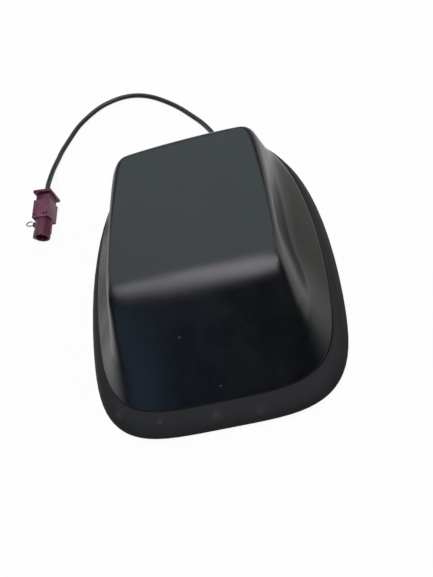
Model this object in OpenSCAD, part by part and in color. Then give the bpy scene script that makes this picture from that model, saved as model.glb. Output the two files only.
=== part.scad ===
// Roof-mounted satellite positioning antenna: a drafted radome on a rubber skirt,
// a cast base, the receiving module inside it and a short coaxial lead with its plug.
// The origin is at the centre of the skirt's underside, on the surface it stands on.
// +X is to the right, +Y runs to the rear, where the lead leaves, and +Z is up.

/* [Skirt plan] */
// Length of the skirt over all
skirt_l = 154; // [120:1:180]
// Width the plan aims at across its front end
front_w = 109; // [80:0.2:130]
// Width the plan aims at across its rear end
rear_w = 94.5; // [60:0.2:120]
// How far each long side bows out beyond the straight taper
side_bow = 9.8; // [0:0.1:15]
// Place of the plan's middle stations behind the origin
mid_y = -24.2; // [-40:0.1:20]
// Squareness of the two front corners
front_square = 4.3; // [2.5:0.1:8]
// Squareness of the two rear corners
rear_square = 4.9; // [2.5:0.1:8]
// Squareness of the seam's two rear corners
seam_rear_square = 6.4; // [2.5:0.1:10]

/* [Skirt section] */
// Thickness of the skirt's outer rim
rim_h = 2.6; // [1:0.1:3.5]
// Plan distance from the rim to the seam at the sides
seam_in_side = 5.2; // [4:0.1:12]
// Plan distance from the rim to the seam at the front
seam_in_front = 10.9; // [4:0.1:14]
// Plan distance from the rim to the seam at the rear
seam_in_rear = 3.3; // [2.8:0.1:12]
// Height of the seam at the front
seam_front_z = 5.2; // [4.5:0.1:12]
// Height of the seam at the rear
seam_rear_z = 8.2; // [6:0.1:16]
// Crown of the skirt's sloping face
skirt_crown = 0.7; // [0:0.1:2]
// Width of the land that carries the radome
land_w = 4.5; // [3.5:0.1:7]
// Ledge of rubber around the radome's lip
land_rim = 0.4; // [0.1:0.1:1]
// Width of the lip that reaches under the base
under_lip_w = 8; // [4:0.5:12]

/* [Radome] */
// Wall thickness of the radome
radome_wall = 2.4; // [1.8:0.1:3]
// Height of the crown's front edge
crown_front_z = 41.3; // [28:0.1:50]
// Height of the crown's rear edge
crown_rear_z = 31.2; // [24:0.1:48]
// Distance of the crown's front edge ahead of the origin
crown_front_y = 23.3; // [10:0.1:50]
// Distance of the crown's rear corners ahead of the skirt's rear edge
crown_in_rear = 11.8; // [6:0.1:30]
// How far the crown's rear edge bows out between its corners
crown_rear_bow = 1.9; // [0:0.1:8]
// Width of the crown at its front edge
crown_front_w = 77.4; // [50:0.1:90]
// Width of the crown at its rear edge
crown_rear_w = 71; // [40:0.1:85]
// How far each long side of the crown bows out
crown_bow = 1.9; // [0:0.1:6]
// Squareness of the crown's two front corners
crown_front_square = 20; // [4:0.5:24]
// Squareness of the crown's two rear corners
crown_rear_square = 16.5; // [4:0.5:24]
// Height of the radome's lip above the seam at the sides and the rear
lip_h = 1.9; // [1:0.1:4]
// Height of the radome's lip above the seam at the front
lip_front_h = 0.6; // [0.4:0.1:4]
// Rise of the side shoulder from the lip to the foot of the wall
shoulder_rise = 5; // [0:0.1:8]
// Plan run of the drafted side wall
wall_run = 5.2; // [3:0.1:10]
// Reach of the round at the lip
lip_round = 1.4; // [0.5:0.1:2]
// Reach of the hollow between the shoulder and the wall
hollow_round = 5.4; // [2:0.1:6]
// How far behind the skirt's front edge the hollow begins
hollow_in = 19; // [10:1:60]
// Length over which the hollow opens to its full depth
hollow_fade = 42; // [10:1:80]
// Reach of the round on the crown's side edges
side_round = 4.3; // [2:0.1:6]
// Reach of the round on the crown's front edge
front_round = 9.7; // [4:0.1:14]

/* [Base and fixings] */
// Height of the base's underside above the roof
base_lift = 1.2; // [0.8:0.1:2]
// Thickness of the base plate
base_t = 2.6; // [2:0.1:4]
// Height of the base's stiffening ribs
rib_h = 2.4; // [1:0.1:5]
// Thickness of the base's stiffening ribs
rib_t = 1.8; // [1.2:0.1:3]
// Side clearance of the base in the rubber
base_gap = 0.15; // [0.05:0.05:0.4]
// Width between the roof bolts, across the base
bolt_span_x = 56; // [40:1:70]
// Length between the roof bolts, along the base
bolt_span_y = 84; // [60:1:90]
// Inner radius of the roof bolts' threaded inserts
insert_bore_r = 2.1; // [1.5:0.1:3]
// Outer radius of the threaded inserts
insert_r = 3.4; // [2.5:0.1:5]
// Length of the threaded inserts
insert_l = 8; // [5:0.5:12]
// Outer radius of the bosses that hold the inserts
insert_boss_r = 5.6; // [4.5:0.1:8]
// Outer radius of the radome's screw bosses
boss_r = 3.6; // [2.8:0.1:5]
// Radius of a radome screw's shank
screw_r = 1.5; // [1:0.05:2]
// Radius of a radome screw's head
screw_head_r = 2.8; // [2:0.1:4]
// Height of a radome screw's head
screw_head_h = 1.4; // [1:0.1:2]
// Length of a radome screw under its head
screw_l = 7; // [5:0.5:10]
// Clearance around a screw's shank in the plate it passes
screw_gap = 0.2; // [0.1:0.05:0.4]
// Clearance between a screw's thread line and its pilot hole
thread_gap = 0.05; // [0.02:0.01:0.1]
// Length of a carrier screw under its head
carrier_screw_l = 7; // [5:0.5:9]
// Length of a board screw under its head
board_screw_l = 6; // [4:0.5:7]
// Length of a clamp screw under its head
clamp_screw_l = 4; // [3:0.5:5]

/* [Receiving module] */
// Width of the receiver board
board_w = 48; // [40:1:54]
// Length of the receiver board
board_l = 62; // [50:1:74]
// Thickness of the receiver board
board_t = 1.6; // [1:0.1:2]
// Height of the board's underside
board_z = 20; // [14:0.5:24]
// Distance of the board's middle behind the origin
board_y = 6; // [-5:0.5:15]
// Radius of the module's small screws
small_screw_r = 1.1; // [0.8:0.05:1.5]
// Thickness of the carrier's frame
carrier_t = 2.2; // [1.5:0.1:3]
// Radius of the carrier's legs
leg_r = 3.4; // [2.5:0.1:4.5]
// Side of the square ceramic patch
patch_w = 25; // [18:0.5:35]
// Thickness of the ceramic patch
patch_t = 4; // [2:0.1:6]
// Side of the silvered face on the patch
electrode_w = 21.5; // [14:0.5:30]
// Thickness of the adhesive pad under the patch
pad_t = 0.8; // [0.3:0.1:1.5]
// Length of the amplifier's screening can
can_l = 30; // [20:1:36]
// Width of the amplifier's screening can
can_w = 22; // [14:1:28]
// Height of the amplifier's screening can
can_h = 3.4; // [2:0.1:5]

/* [Lead] */
// Diameter of the coaxial lead
lead_d = 2.7; // [2:0.1:3.5]
// Distance of the lead's exit to the right of the middle
exit_x = 14; // [0:0.5:20]
// Height of the lead's exit
exit_z = 7.2; // [6.9:0.1:9]
// Radius of the grommet's body
grommet_r = 2.6; // [2.2:0.1:3]
// Clearance of the lead in its grommet, clamp and ferrule
lead_gap = 0.1; // [0.05:0.05:0.3]

/* [Plug] */
// Distance of the plug's middle line to the left of the middle
plug_x = 84.2; // [75:0.1:100]
// Distance of the plug's rear face behind the skirt's rear edge
plug_out = -3; // [-20:0.1:20]
// Turn of the plug's nose to the left of straight ahead
plug_turn = 7.5; // [0:1:30]
// Length of the plug from its collar to its nose
plug_l = 26.8; // [24:0.1:36]
// Width and height of the plug's locking sleeve
sleeve_w = 9.6; // [8:0.1:11]
// Length of the plug's locking sleeve
sleeve_l = 10.9; // [8:0.1:15]
// Outer radius of the plug's round nose
nose_r = 4.4; // [3.6:0.1:5]
// Inner radius of the plug's round nose
nose_bore_r = 3.3; // [2.6:0.1:3.8]
// Width of the plug's rear collar
collar_w = 10; // [8:0.1:12]
// Height of the plug's rear collar, on which the plug stands
collar_h = 12.6; // [10:0.1:15]
// Thickness of the plug's rear collar
collar_t = 1.5; // [1:0.1:2.5]

/* [Hidden] */
$fn = 32;
fine_fn = 48;
stations = 96;
corner_ease = 0.6;
degrees_a_radian = 57.29578;
tiny = 0.01;
corner_fade = 26;
side_share = 0.48;
wall_share = 0.55;
through = 1;
rear_y = skirt_l / 2;
crown_rear_y = rear_y - crown_in_rear;
crown_mid_y = crown_rear_y * 0.3 - crown_front_y * 0.7;
seam_slope = (seam_rear_z - seam_front_z) / (skirt_l - seam_in_front - seam_in_rear);
crown_slope = (crown_rear_z - crown_front_z) / (crown_rear_y + crown_front_y);
base_top = base_lift + base_t;
base_in = 1.5;
rib_inset = 9;
insert_cap = 1.6;
frame_clear = 0.3;
lead_r = lead_d / 2;
lead_sides = 8;
leg_span_x = board_w - 8;
leg_span_y = board_l - 8;
carrier_z = board_z - carrier_t;
patch_y = board_y - 8;
patch_z = board_z + board_t + pad_t;
feed_off = 2.5;
feed_r = 0.5;
clamp_y = rear_y - 15.5;
clamp_l = 6;
clamp_w = 14;
clamp_t = 1;
clamp_foot_z = exit_z - 0.3;
lead_start_y = clamp_y - clamp_l / 2 - 2;
grommet_flange_t = 1.5;
grommet_flange_r = grommet_r + 0.7;
grommet_end_y = rear_y - 0.4;
plug_dip = atan((collar_h / 2 - nose_r) / plug_l);
plug_z = collar_h / 2 * cos(plug_dip) + collar_t * sin(plug_dip);
neck_w = sleeve_w - 1.6;
sleeve_y = -collar_t - 4.1;
nose_end_y = -plug_l;
ferrule_r = lead_r + 0.8;
ferrule_out = 2.2;
plug_lead_straight = 4.8;
plug_lead_in = 1;
latch_out = 1.6;
window_w = 1.1;
window_in = 1.2;
wire_r = 0.3;
latch_loop = [[0, 1.6, 0.9], [-1.8, 1.4, 1.2], [-3.4, 0.2, 1], [-1.9, -0.7, 0.6], [0, -0.4, 0.3]];
window_places = [-3.6, 1.7, 3.5];
shell_r = 2.2;
shell_bore_r = 1.6;
contact_r = 0.55;

// The radome's screws stand on the shoulder line, three a side
boss_rows = [[41, 42 - rear_y], [42, 10], [38, rear_y - 29.5]];
boss_points = [for (side = [-1, 1]) for (p = boss_rows) [side * p[0], p[1]]];
bolt_points = [for (sx = [-1, 1]) for (sy = [-1, 1]) [sx * bolt_span_x / 2, sy * bolt_span_y / 2]];
bar_w = 1.6;
bar_h = 4;
leg_points = [for (sx = [-1, 1]) for (sy = [-1, 1]) [sx * leg_span_x / 2, board_y + sy * leg_span_y / 2]];
clamp_screw_points = [for (sx = [-1, 1]) [exit_x + sx * 5, clamp_y]];

// A plan is [front y, widest y, rear y, front half width, rear half width, side bow,
// front squareness, rear squareness, rear bow]
skirt_plan = [-skirt_l / 2, mid_y, skirt_l / 2, front_w / 2, rear_w / 2, side_bow,
    front_square, rear_square, 0];
seam_plan = [-skirt_l / 2 + seam_in_front, mid_y, skirt_l / 2 - seam_in_rear,
    front_w / 2 - seam_in_side, rear_w / 2 - seam_in_side, side_bow, front_square, seam_rear_square, 0];
crown_plan = [-crown_front_y, crown_mid_y, crown_rear_y, crown_front_w / 2, crown_rear_w / 2,
    crown_bow, crown_front_square, crown_rear_square, crown_rear_bow];

// Point on the plug's middle line, some way behind its rear face
function plug_point(y) = [-plug_x + y * sin(plug_turn) * cos(plug_dip),
    rear_y + plug_out + y * cos(plug_turn) * cos(plug_dip), plug_z + y * sin(plug_dip)];

// The lead's free run on the roof, from the grommet to the plug. Y is measured from the
// skirt's rear edge
lead_run = [
    [13.6, 4.5, 6.2],
    [12.6, 9.6, 4],
    [10.6, 16.5, 2],
    [6, 25.2, 1.4],
    [0.4, 32.9, 1.4],
    [-5.6, 40.6, 1.4],
    [-12.6, 47.8, 1.4],
    [-20.2, 54.2, 1.4],
    [-27.7, 58.5, 1.4],
    [-35.4, 60.7, 1.4],
    [-43.6, 60.7, 1.4],
    [-52.5, 58.3, 1.4],
    [-60, 53.6, 1.4],
    [-67.1, 47.1, 1.4],
    [-72.9, 38.6, 1.4],
    [-77.5, 31, 1.4],
    [-79.4, 26.2, 1.7],
    [-81, 21.1, 2.5],
    [-82.2, 14.5, 4.2]
];

// The lead's whole route: out of the clamp, through the grommet, and round to the plug
lead_route = concat(
    [for (y = [lead_start_y, clamp_y + clamp_l / 2, grommet_end_y]) [exit_x, y, exit_z]],
    [for (p = lead_run) p + [0, rear_y, 0]],
    [for (y = [ferrule_out + plug_lead_straight, ferrule_out, -plug_lead_in]) plug_point(y)]);
lead_steps = 3;
core_r = 0.75;
core_inset = 5;
core_end_y = board_y + board_l / 2 - core_inset;
core_end_z = board_z + board_t + core_r;

// The stripped core climbs from the clamp to the board in shares of the way and of the height
core_shares = [[0, 0], [0.08, 0], [0.15, 0], [0.23, 0.07], [0.33, 0.27], [0.44, 0.63], [0.54, 1.04],
    [0.72, 1.03], [1, 1]];
core_route = [for (p = core_shares)
    [exit_x, blend(lead_start_y, core_end_y, p[0]), blend(exit_z, core_end_z, p[1])]];
core_steps = 3;

// Bearing of a station, with the stations drawn together at the four corners
function turn(i) = 360 * i / stations + degrees_a_radian * corner_ease / 4 * sin(1440 * i / stations);

// A plan drawn in by a distance on every side
function drawn_in(plan, by) = [plan[0] + by, plan[1], plan[2] - by, plan[3] - by, plan[4] - by,
    plan[5], plan[6], plan[7], plan[8]];

// Point of a plan at a station
function plan_point(plan, i) =
    let (a = turn(i))
    let (power = sin(a) < 0 ? plan[6] : plan[7])
    let (reach = pow(pow(abs(cos(a)), power) + pow(abs(sin(a)), power), -1 / power))
    let (across = cos(a) * reach)
    let (y = plan[1] + sin(a) * reach * (sin(a) < 0 ? plan[1] - plan[0] : plan[2] - plan[1]))
    let (share = (y - plan[0]) / (plan[2] - plan[0]))
    let (bow = sin(a) < 0 ? 0 : plan[8] * (1 - pow(across, 2)) * sin(a) * reach)
    [across * (plan[3] * (1 - share) + plan[4] * share + 4 * plan[5] * share * (1 - share)), y + bow];

function plan_points(plan) = [for (i = [0 : stations - 1]) plan_point(plan, i)];
function seam_z(y) = seam_front_z + seam_slope * (y + skirt_l / 2 - seam_in_front);
function crown_z(y) = crown_front_z + crown_slope * (y + crown_front_y);
function unit(v) = v / norm(v);
function smooth(v) = let (s = max(0, min(1, v))) s * s * (3 - 2 * s);
function blend(a, b, share) = a * (1 - share) + b * share;

// Points of a round that leaves corner q by a reach on each side, or by less where a side is short
function corner_arc(p, q, r, reach, steps) =
    let (fit = min(reach, side_share * norm(p - q), side_share * norm(r - q)))
    let (a = q + unit(p - q) * fit)
    let (b = q + unit(r - q) * fit)
    [for (k = [0 : steps]) let (s = k / steps) a * pow(1 - s, 2) + q * 2 * s * (1 - s) + b * pow(s, 2)];

// Inward offset of corner q between the sides from p and to r
function inner_corner(p, q, r, by) =
    let (d1 = unit(q - p))
    let (d2 = unit(r - q))
    let (n1 = [d1[1], -d1[0]])
    let (n2 = [d2[1], -d2[0]])
    q + (n1 + n2) * by / (1 + n1 * n2);

// Section of the radome at a station, as [run inwards, height], drawn in by a wall
// and then cut through below its foot
function section(i, wall) =
    let (foot = plan_point(seam_plan, i))
    let (head = plan_point(crown_plan, i))
    let (run = norm(head - foot))
    let (fall = crown_slope * (head - foot)[1] / run)
    let (foot_z = seam_z(foot[1]))
    let (a = [0, foot_z])
    let (side = smooth((foot[1] + rear_y - seam_in_front) / corner_fade))
    let (lip = blend(lip_front_h, lip_h, side))
    let (b = [0.3, foot_z + lip])
    let (d = [run, crown_z(head[1])])
    let (e = d + [crown_rear_w, crown_rear_w * fall])
    let (lean = min(wall_run, run * wall_share))
    let (shelf = [run - lean, foot_z + lip + shoulder_rise])
    let (open = smooth((foot[1] + rear_y - hollow_in) / hollow_fade))
    let (c = blend(blend(b, d, 0.45), shelf, open))
    let (crown_reach = blend(front_round, side_round, side))
    let (b2 = inner_corner(a, b, c, wall))
    let (c2 = inner_corner(b, c, d, wall))
    let (d2 = inner_corner(c, d, e, wall))
    let (e2 = d2 + [crown_rear_w, crown_rear_w * fall])
    let (a2 = [wall, foot_z - (wall > 0 ? through : 0)])
    concat([a2], corner_arc(a2, b2, c2, lip_round, 3), corner_arc(b2, c2, d2, hollow_round, 5),
        corner_arc(c2, d2, e2, crown_reach, 7));

// Section turned into space, from the foot of the wall to the crown
function placed_section(i, wall) =
    let (foot = plan_point(seam_plan, i))
    let (way = unit(plan_point(crown_plan, i) - foot))
    [for (p = section(i, wall)) [foot[0] + way[0] * p[0], foot[1] + way[1] * p[0], p[1]]];

// Faces of a closed loft whose rings hold the same number of points
function loft_faces(rings, count) = concat(
    [[for (i = [0 : count - 1]) i]],
    [[for (i = [count - 1 : -1 : 0]) (rings - 1) * count + i]],
    [for (k = [0 : rings - 2]) for (i = [0 : count - 1]) let (j = (i + 1) % count)
        [k * count + i, (k + 1) * count + i, (k + 1) * count + j]],
    [for (k = [0 : rings - 2]) for (i = [0 : count - 1]) let (j = (i + 1) % count)
        [k * count + i, (k + 1) * count + j, k * count + j]]);

module loft(rings) {
    polyhedron(points = [for (ring = rings) each ring], faces = loft_faces(len(rings), len(rings[0])));
}

// Solid inside the radome's surface, drawn in by a wall
module radome_body(wall) {
    sections = [for (i = [0 : stations - 1]) placed_section(i, wall)];
    loft([for (k = [0 : len(sections[0]) - 1]) [for (s = sections) s[k]]]);
}

// Straight disc plate with a plan's outline
module plan_plate(plan, z, height) {
    translate([0, 0, z]) linear_extrude(height) polygon(plan_points(plan));
}

// Screw that points up from its head, at the origin of its head's underside
module screw_up(shank_r, shank_l, head_r, head_h) {
    cylinder(r = shank_r, h = shank_l, $fn = 20);
    difference() {
        translate([0, 0, -head_h]) cylinder(r = head_r, h = head_h, $fn = fine_fn);
        for (a = [0, 90])
            rotate(a) translate([0, 0, -head_h]) cube([head_r * 1.1, 0.6, head_h], center = true);
    }
}

// Point of a smooth curve through four route points, between the middle two
function curve_point(p, s) = 0.5 * (2 * p[1] + (p[2] - p[0]) * s
    + (2 * p[0] - 5 * p[1] + 4 * p[2] - p[3]) * pow(s, 2)
    + (3 * p[1] - p[0] - 3 * p[2] + p[3]) * pow(s, 3));

// Smooth route through a list of points, with some steps for each stretch
function smooth_route(route, steps) = let (last = len(route) - 1) concat(
    [for (k = [0 : last - 1]) for (s = [0 : steps - 1])
        curve_point([route[max(k - 1, 0)], route[k], route[k + 1], route[min(k + 2, last)]], s / steps)],
    [route[last]]);

// Round tube along a route that never runs straight up
module tube_along(route, radius, sides) {
    last = len(route) - 1;
    loft([for (k = [0 : last])
        let (way = unit(route[min(k + 1, last)] - route[max(k - 1, 0)]))
        let (side = unit(cross(way, [0, 0, 1])))
        let (up = cross(side, way))
        [for (i = [0 : sides - 1]) let (a = -360 * (i + 0.5) / sides)
            route[k] + radius * (side * cos(a) + up * sin(a))]]);
}

module radome() {
    color([0.14, 0.15, 0.16]) difference() {
        union() {
            difference() {
                radome_body(0);
                radome_body(radome_wall);
            }
            intersection() {
                for (p = boss_points)
                    translate([p[0], p[1], base_top]) cylinder(r = boss_r, h = crown_front_z);
                union() {
                    radome_body(radome_wall / 2);
                    plan_plate(drawn_in(seam_plan, land_w + boss_r / 4), base_top, seam_rear_z);
                }
            }
        }
        for (p = boss_points) translate([p[0], p[1], base_top - tiny])
            cylinder(r = screw_r + thread_gap, h = screw_l - base_t + land_rim, $fn = 20);
        grommet_hole();
    }
}

// Round hole for the grommet, shared by the radome's lip and the skirt
module grommet_hole() {
    translate([exit_x, 0, exit_z]) rotate([-90, 0, 0]) cylinder(r = grommet_r, h = skirt_l, $fn = fine_fn);
}

module skirt() {
    steps = 6;
    rim_out = plan_points(skirt_plan);
    rim_in = plan_points(drawn_in(skirt_plan, 0.6));
    land = plan_points(drawn_in(seam_plan, -land_rim));
    color([0.12, 0.12, 0.13]) difference() {
        loft(concat(
            [[for (p = rim_in) [p[0], p[1], 0]]],
            [[for (p = rim_out) [p[0], p[1], rim_h * 0.35]]],
            [[for (p = rim_out) [p[0], p[1], rim_h * 0.7]]],
            [for (k = [0 : steps]) let (s = k / steps) [for (i = [0 : stations - 1])
                let (foot = rim_in[i])
                let (head = land[i])
                let (swell = skirt_crown * 4 * s * (1 - s))
                let (way = unit(foot - head) * swell * 0.6)
                [blend(foot[0], head[0], s) + way[0], blend(foot[1], head[1], s) + way[1],
                    blend(rim_h, seam_z(head[1]), s) + swell]]]));
        plan_plate(drawn_in(seam_plan, land_w), base_lift + tiny, seam_rear_z);
        plan_plate(drawn_in(seam_plan, base_in), base_lift, base_t);
        plan_plate(drawn_in(seam_plan, base_in + under_lip_w), -through, base_lift + 2 * through);
        grommet_hole();
    }
}

module base_plate() {
    plate = drawn_in(seam_plan, base_in + base_gap);
    color([0.62, 0.63, 0.64]) difference() {
        union() {
            plan_plate(plate, base_lift, base_t);
            difference() {
                plan_plate(drawn_in(seam_plan, rib_inset), base_top - tiny, rib_h);
                plan_plate(drawn_in(seam_plan, rib_inset + rib_t), base_top - through, rib_h + 2 * through);
                for (p = boss_points) translate([p[0], p[1], base_top - through])
                    cylinder(r = boss_r + frame_clear, h = rib_h + 2 * through);
                translate([exit_x - clamp_w / 2 - 1, 0, base_top - through])
                    cube([clamp_w + 2, skirt_l, rib_h + 2 * through]);
            }
            for (p = bolt_points) {
                translate([p[0], p[1], base_lift])
                    cylinder(r = insert_boss_r, h = insert_l + insert_cap, $fn = fine_fn);
                translate([p[0] - rib_t / 2, p[1] > 0 ? p[1] - 8 : p[1], base_top - tiny])
                    cube([rib_t, 8, rib_h]);
            }
            translate([exit_x - clamp_w / 2, clamp_y - clamp_l / 2, base_top - tiny])
                cube([clamp_w, clamp_l, clamp_foot_z - base_top + tiny]);
        }
        for (p = bolt_points) translate([p[0], p[1], base_lift - through])
            cylinder(r = insert_r, h = insert_l + through, $fn = fine_fn);
        for (p = boss_points) translate([p[0], p[1], base_lift - through]) {
            cylinder(r = screw_r + screw_gap, h = base_t + 2 * through);
            cylinder(r = screw_head_r + screw_gap, h = screw_head_h + through);
        }
        for (p = leg_points) translate([p[0], p[1], base_lift - through]) {
            cylinder(r = small_screw_r + screw_gap, h = base_t + 2 * through);
            cylinder(r = 2 * small_screw_r + screw_gap, h = screw_head_h + through);
        }
        for (p = clamp_screw_points) translate([p[0], p[1], base_top - 1])
            cylinder(r = small_screw_r + thread_gap, h = exit_z);
        translate([exit_x, clamp_y, exit_z]) rotate([-90, 0, 0])
            cylinder(r = lead_r + lead_gap, h = clamp_l + 2 * through, center = true);
    }
}

module roof_inserts() {
    color([0.78, 0.62, 0.3]) for (p = bolt_points) translate([p[0], p[1], base_lift]) difference() {
        cylinder(r = insert_r, h = insert_l, $fn = fine_fn);
        translate([0, 0, -through]) cylinder(r = insert_bore_r, h = insert_l + 2 * through, $fn = fine_fn);
    }
}

module radome_screws() {
    color([0.7, 0.7, 0.72]) for (p = boss_points) translate([p[0], p[1], base_lift + screw_head_h])
        screw_up(screw_r, screw_l - screw_head_h, screw_head_r, screw_head_h);
}

module foam_gasket() {
    ring_out = drawn_in(seam_plan, base_in + under_lip_w + 1);
    color([0.2, 0.2, 0.2]) difference() {
        plan_plate(ring_out, 0, base_lift);
        plan_plate(drawn_in(ring_out, 4), -through, base_lift + 2 * through);
    }
}

module module_carrier() {
    color([0.82, 0.81, 0.77]) difference() {
        union() {
            translate([-board_w / 2 - 2, board_y - board_l / 2 - 2, carrier_z])
                cube([board_w + 4, board_l + 4, carrier_t]);
            for (p = leg_points)
                translate([p[0], p[1], base_top]) cylinder(r = leg_r, h = board_z - base_top);
            for (sy = [-1, 1])
                translate([-leg_span_x / 2, board_y + (sy * leg_span_y - bar_w) / 2, carrier_z - bar_h])
                    cube([leg_span_x, bar_w, bar_h]);
            for (sx = [-1, 1])
                translate([(sx * leg_span_x - bar_w) / 2, board_y - leg_span_y / 2, carrier_z - bar_h])
                    cube([bar_w, leg_span_y, bar_h]);
        }
        translate([-leg_span_x / 2 + 4.5, board_y - leg_span_y / 2 + 4.5, carrier_z - 5])
            cube([leg_span_x - 9, leg_span_y - 9, carrier_t + 6]);
        for (p = leg_points) {
            translate([p[0], p[1], base_top - through])
                cylinder(r = small_screw_r + thread_gap, h = carrier_screw_l + through);
            translate([p[0], p[1], board_z - board_screw_l - 1])
                cylinder(r = small_screw_r + thread_gap, h = board_screw_l + 1 + through);
        }
    }
}

module carrier_screws() {
    color([0.7, 0.7, 0.72]) for (p = leg_points) translate([p[0], p[1], base_lift + screw_head_h])
        screw_up(small_screw_r, carrier_screw_l, 2 * small_screw_r, screw_head_h);
}

module receiver_board() {
    color([0.08, 0.32, 0.16]) difference() {
        translate([-board_w / 2, board_y - board_l / 2, board_z]) cube([board_w, board_l, board_t]);
        for (p = leg_points) translate([p[0], p[1], board_z - through])
            cylinder(r = small_screw_r + screw_gap, h = board_t + 2 * through);
        translate([0, patch_y + feed_off, board_z - through])
            cylinder(r = feed_r, h = board_t + 2 * through);
    }
}

module board_screws() {
    color([0.7, 0.7, 0.72]) for (p = leg_points) translate([p[0], p[1], board_z + board_t])
        rotate([180, 0, 0]) screw_up(small_screw_r, board_screw_l, 2 * small_screw_r, screw_head_h);
}

module patch_pad() {
    color([0.9, 0.9, 0.85]) translate([0, patch_y, board_z + board_t]) difference() {
        translate([-patch_w / 2, -patch_w / 2, 0]) cube([patch_w, patch_w, pad_t]);
        translate([0, feed_off, -through]) cylinder(r = feed_r, h = pad_t + 2 * through);
    }
}

module ceramic_patch() {
    color([0.74, 0.66, 0.5]) translate([0, patch_y, patch_z]) difference() {
        translate([-patch_w / 2, -patch_w / 2, 0]) cube([patch_w, patch_w, patch_t]);
        translate([0, feed_off, -through]) cylinder(r = feed_r, h = patch_t + 2 * through);
    }
}

module patch_face() {
    color([0.85, 0.85, 0.87]) translate([0, patch_y, patch_z + patch_t]) linear_extrude(0.2) difference() {
        square(electrode_w, center = true);
        for (s = [-1, 1]) translate([s * electrode_w / 2, s * electrode_w / 2])
            rotate(45) square(3, center = true);
        translate([0, feed_off]) circle(r = feed_r);
    }
}

module feed_pin() {
    color([0.85, 0.8, 0.6]) translate([0, patch_y + feed_off, 0]) {
        translate([0, 0, board_z - 0.8]) cylinder(r = feed_r, h = patch_z + patch_t + 0.2 - board_z + 0.8);
        translate([0, 0, patch_z + patch_t + 0.2]) cylinder(r1 = 1.3, r2 = 0.7, h = 0.5);
    }
}

module screening_can() {
    color([0.75, 0.75, 0.76]) translate([-can_w / 2, board_y - can_l / 2 + 2, board_z - can_h]) difference() {
        cube([can_w, can_l, can_h]);
        translate([0.5, 0.5, 0.5]) cube([can_w - 1, can_l - 1, can_h]);
    }
}

module lead_clamp() {
    color([0.7, 0.7, 0.72]) difference() {
        union() {
            translate([exit_x, clamp_y, exit_z]) rotate([-90, 0, 0])
                cylinder(r = lead_r + clamp_t, h = clamp_l, center = true);
            translate([exit_x - clamp_w / 2, clamp_y - clamp_l / 2, clamp_foot_z])
                cube([clamp_w, clamp_l, clamp_t]);
        }
        translate([exit_x, clamp_y, exit_z]) rotate([-90, 0, 0])
            cylinder(r = lead_r + lead_gap, h = clamp_l + 2 * through, center = true);
        translate([exit_x - clamp_w, clamp_y - clamp_l, clamp_foot_z - exit_z])
            cube([2 * clamp_w, 2 * clamp_l, exit_z]);
        for (p = clamp_screw_points) translate([p[0], p[1], base_top])
            cylinder(r = small_screw_r + screw_gap, h = exit_z);
    }
}

module clamp_screws() {
    color([0.7, 0.7, 0.72]) for (p = clamp_screw_points)
        translate([p[0], p[1], clamp_foot_z + clamp_t]) rotate([180, 0, 0])
            screw_up(small_screw_r, clamp_screw_l, 1.6 * small_screw_r, screw_head_h);
}

module core_lead() {
    color([0.9, 0.9, 0.88]) tube_along(smooth_route(core_route, core_steps), core_r, lead_sides);
}

module lead_grommet() {
    flange_y = plan_point(drawn_in(seam_plan, land_w), stations / 4)[1] - grommet_flange_t;
    color([0.1, 0.1, 0.1]) translate([exit_x, flange_y, exit_z]) rotate([-90, 0, 0]) difference() {
        union() {
            cylinder(r = grommet_flange_r, h = grommet_flange_t - 0.5, $fn = fine_fn);
            cylinder(r = grommet_r - 0.05, h = grommet_end_y - flange_y - 2, $fn = fine_fn);
            translate([0, 0, grommet_end_y - flange_y - 2])
                cylinder(r1 = grommet_r - 0.05, r2 = grommet_r - 0.7, h = 2, $fn = fine_fn);
        }
        translate([0, 0, -through])
            cylinder(r = lead_r + lead_gap, h = grommet_end_y - flange_y + 2 * through, $fn = fine_fn);
    }
}

module lead() {
    color([0.1, 0.1, 0.1]) tube_along(smooth_route(lead_route, lead_steps), lead_r, lead_sides);
}

// Puts the plug, drawn along its middle line from its rear face forward, where it lies: it stands
// on its collar and dips until the nose touches the roof
module plug_placed() {
    translate([-plug_x, rear_y + plug_out, plug_z]) rotate(-plug_turn) rotate([plug_dip, 0, 0]) children();
}

// Turns a round shape onto the plug's middle line, pointing to its nose
module on_axis(y) {
    translate([0, y, 0]) rotate([90, 0, 0]) children();
}

module plug_ferrule() {
    color([0.8, 0.8, 0.8]) plug_placed() on_axis(ferrule_out) difference() {
        cylinder(r = ferrule_r, h = ferrule_out + 5);
        translate([0, 0, -through]) cylinder(r = lead_r + lead_gap, h = ferrule_out + 1 + 2 * through);
    }
}

module plug_housing() {
    front_y = sleeve_y - sleeve_l;
    nose_l = front_y - nose_end_y;
    color([0.36, 0.16, 0.25]) plug_placed() difference() {
        union() {
            translate([-collar_w / 2, -collar_t, -collar_h / 2]) cube([collar_w, collar_t, collar_h]);
            translate([-neck_w / 2, front_y, -neck_w / 2]) cube([neck_w, -collar_t / 2 - front_y, neck_w]);
            translate([-nose_r - latch_out, front_y - 3, -0.9]) cube([latch_out + 1, 2.4, 1.8]);
            on_axis(front_y) cylinder(r = nose_r, h = nose_l, $fn = fine_fn);
            on_axis(front_y - 0.4) translate([0, -0.7, 0]) cube([nose_r + 0.6, 1.4, nose_l - 2]);
            on_axis(nose_end_y + 4.5) translate([-nose_r - 0.5, -0.9, 0]) cube([2, 1.8, 4.5]);
        }
        on_axis(front_y - 1.5) cylinder(r = nose_bore_r, h = nose_l, $fn = fine_fn);
        on_axis(through) cylinder(r = shell_r + thread_gap, h = plug_l);
    }
}

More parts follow.
